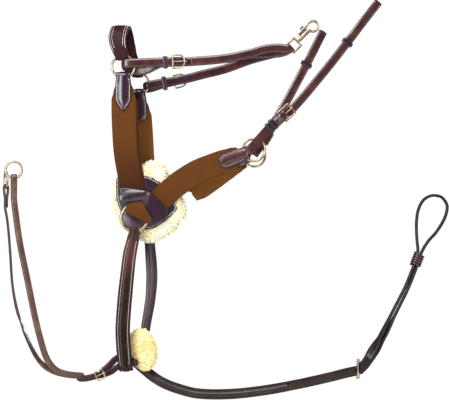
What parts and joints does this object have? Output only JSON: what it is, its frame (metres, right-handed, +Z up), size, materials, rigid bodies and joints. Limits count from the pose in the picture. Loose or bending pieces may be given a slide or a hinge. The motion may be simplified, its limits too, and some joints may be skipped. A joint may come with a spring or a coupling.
{
  "type": "breastplate",
  "caption": "Five-point leather breastplate with wide elastics, a sheepskin chest pad, girth straps and a running martingale attachment, hung folded.",
  "frame": {"origin": "inside of the fold of the wither strap, where a peg or rail carries it", "axes": "+Z up as hung, +X from the wither strap towards the girth loops, -Y towards the near side"},
  "size_m": [0.8953, 0.0927, 0.8004],
  "materials": {
    "leather": "glossy",
    "leather_plain": "satin",
    "webbing": "woven",
    "sheepskin": "woolly",
    "brass": "polished"
  },
  "bodies": {
    "harness": {"wither_strap": "leather", "neck_tab_near": "leather", "neck_tab_far": "leather", "neck_elastic_near": "webbing", "neck_elastic_far": "webbing", "girth_elastic_near": "webbing", "girth_elastic_far": "webbing", "girth_tab_near": "leather", "girth_tab_far": "leather", "chest_pad": "leather", "pad_cover": "leather", "chest_fleece": "sheepskin", "ring_tongue": "webbing", "front_strap": "leather", "back_strap": "leather_plain", "belly_strap": "leather_plain", "belly_fleece": "sheepskin", "belly_loop": "leather_plain", "coil_keeper": "leather_plain", "belly_buckle_frame": "brass", "connector": "leather", "connector_buckle_frame": "brass", "rein_strap_near": "leather_plain", "rein_strap_far": "leather_plain"},
    "wither_ring_near": {"wither_ring_near": "brass"},
    "wither_ring_far": {"wither_ring_far": "brass"},
    "girth_ring_near": {"girth_ring_near": "brass"},
    "girth_ring_far": {"girth_ring_far": "brass"},
    "chest_ring": {"chest_ring": "brass"},
    "rein_ring_near": {"rein_ring_near": "brass"},
    "rein_ring_far": {"rein_ring_far": "brass"},
    "saddle_near": {"saddle_strap_near": "leather", "saddle_keeper_near": "leather", "saddle_buckle_near_frame": "brass", "snap_eye_near": "brass"},
    "snap_near": {"snap_hook_near": "brass"},
    "bolt_near": {"snap_bolt_near": "brass"},
    "saddle_far": {"saddle_strap_far": "leather", "saddle_keeper_far": "leather", "saddle_buckle_far_frame": "brass", "snap_eye_far": "brass"},
    "snap_far": {"snap_hook_far": "brass"},
    "bolt_far": {"snap_bolt_far": "brass"},
    "saddle_buckle_near_prong": {"saddle_buckle_near_prong": "brass"},
    "saddle_buckle_far_prong": {"saddle_buckle_far_prong": "brass"},
    "girth_near": {"girth_chape_near": "leather", "girth_strap_near": "leather", "girth_keeper_near": "leather", "girth_buckle_near_frame": "brass"},
    "runner_near": {"girth_runner_near": "leather"},
    "girth_far": {"girth_chape_far": "leather", "girth_strap_far": "leather", "girth_keeper_far": "leather", "girth_buckle_far_frame": "brass"},
    "runner_far": {"girth_runner_far": "leather"},
    "girth_buckle_near_prong": {"girth_buckle_near_prong": "brass"},
    "girth_buckle_far_prong": {"girth_buckle_far_prong": "brass"},
    "connector_buckle_prong": {"connector_buckle_prong": "brass"},
    "belly_buckle_prong": {"belly_buckle_prong": "brass"}
  },
  "joints": [
    {"name": "wither_ring_near_turn", "type": "hinge", "parent": "harness", "child": "wither_ring_near", "pos_m": [0.005, -0.03, -0.076], "axis": [0, 1, 0], "continuous": true},
    {"name": "wither_ring_far_turn", "type": "hinge", "parent": "harness", "child": "wither_ring_far", "pos_m": [0.032, 0.028, -0.108], "axis": [0, 1, 0], "continuous": true},
    {"name": "girth_ring_near_turn", "type": "hinge", "parent": "harness", "child": "girth_ring_near", "pos_m": [0.266, -0.03, -0.242], "axis": [0, 1, 0], "continuous": true},
    {"name": "girth_ring_far_turn", "type": "hinge", "parent": "harness", "child": "girth_ring_far", "pos_m": [0.267, 0.03, -0.252], "axis": [0, 1, 0], "continuous": true},
    {"name": "chest_ring_turn", "type": "hinge", "parent": "harness", "child": "chest_ring", "pos_m": [0.027, -0.029, -0.378], "axis": [0, 1, 0], "continuous": true},
    {"name": "rein_ring_near_turn", "type": "hinge", "parent": "harness", "child": "rein_ring_near", "pos_m": [-0.213, -0.03, -0.282], "axis": [0, 1, 0], "continuous": true},
    {"name": "rein_ring_far_turn", "type": "hinge", "parent": "harness", "child": "rein_ring_far", "pos_m": [-0.233, 0.028, -0.301], "axis": [0.9659, 0.2588, 0], "continuous": true},
    {"name": "saddle_near_swing", "type": "hinge", "parent": "harness", "child": "saddle_near", "pos_m": [0.005, -0.03, -0.076], "axis": [0, -1, 0], "range_deg": [-10, 15]},
    {"name": "snap_near_swivel", "type": "hinge", "parent": "saddle_near", "child": "snap_near", "pos_m": [0.345, -0.031, -0.033], "axis": [0.7071, 0, 0.7071], "continuous": true},
    {"name": "bolt_near_slide", "type": "slide", "parent": "snap_near", "child": "bolt_near", "axis": [-0.7071, 0, -0.7071], "range_m": [0, 0.009], "stiffness_N_per_m": 300, "springref_m": -0.004},
    {"name": "saddle_far_swing", "type": "hinge", "parent": "harness", "child": "saddle_far", "pos_m": [0.032, 0.028, -0.108], "axis": [0, -1, 0], "range_deg": [0, 15]},
    {"name": "snap_far_swivel", "type": "hinge", "parent": "saddle_far", "child": "snap_far", "pos_m": [0.347, 0.029, -0.031], "axis": [0.7071, 0, 0.7071], "continuous": true},
    {"name": "bolt_far_slide", "type": "slide", "parent": "snap_far", "child": "bolt_far", "axis": [-0.7071, 0, -0.7071], "range_m": [0, 0.009], "stiffness_N_per_m": 300, "springref_m": -0.004},
    {"name": "saddle_buckle_near_prong_hinge", "type": "hinge", "parent": "saddle_near", "child": "saddle_buckle_near_prong", "pos_m": [0.10401, -0.0402, -0.06642], "axis": [0.0349, 0, -0.9994], "range_deg": [0, 110]},
    {"name": "saddle_buckle_far_prong_hinge", "type": "hinge", "parent": "saddle_far", "child": "saddle_buckle_far_prong", "pos_m": [0.10631, 0.0384, -0.1037], "axis": [-0.225, 0, 0.9744], "range_deg": [0, 110]},
    {"name": "girth_near_swing", "type": "hinge", "parent": "harness", "child": "girth_near", "pos_m": [0.266, -0.03, -0.242], "axis": [0, -1, 0], "range_deg": [-8, 8]},
    {"name": "runner_near_slide", "type": "slide", "parent": "girth_near", "child": "runner_near", "axis": [0.6157, 0, 0.788], "range_m": [-0.03, 0.004]},
    {"name": "girth_far_swing", "type": "hinge", "parent": "harness", "child": "girth_far", "pos_m": [0.267, 0.03, -0.252], "axis": [0, -1, 0], "range_deg": [-8, 0]},
    {"name": "runner_far_slide", "type": "slide", "parent": "girth_far", "child": "runner_far", "axis": [0.4695, 0, 0.8829], "range_m": [-0.03, 0.004]},
    {"name": "girth_buckle_near_prong_hinge", "type": "hinge", "parent": "girth_near", "child": "girth_buckle_near_prong", "pos_m": [0.32165, -0.0426, -0.17703], "axis": [0.6947, 0, -0.7193], "range_deg": [0, 110]},
    {"name": "girth_buckle_far_prong_hinge", "type": "hinge", "parent": "girth_far", "child": "girth_buckle_far_prong", "pos_m": [0.28408, 0.0406, -0.22486], "axis": [-0.8572, 0, 0.515], "range_deg": [0, 110]},
    {"name": "connector_buckle_prong_hinge", "type": "hinge", "parent": "harness", "child": "connector_buckle_prong", "pos_m": [-0.04831, -0.0392, -0.69325], "axis": [0.4067, 0, -0.9135], "range_deg": [0, 110]},
    {"name": "belly_buckle_prong_hinge", "type": "hinge", "parent": "harness", "child": "belly_buckle_prong", "pos_m": [0.474, 0, -0.697], "axis": [0, 1, 0], "range_deg": [0, 5]}
  ]
}
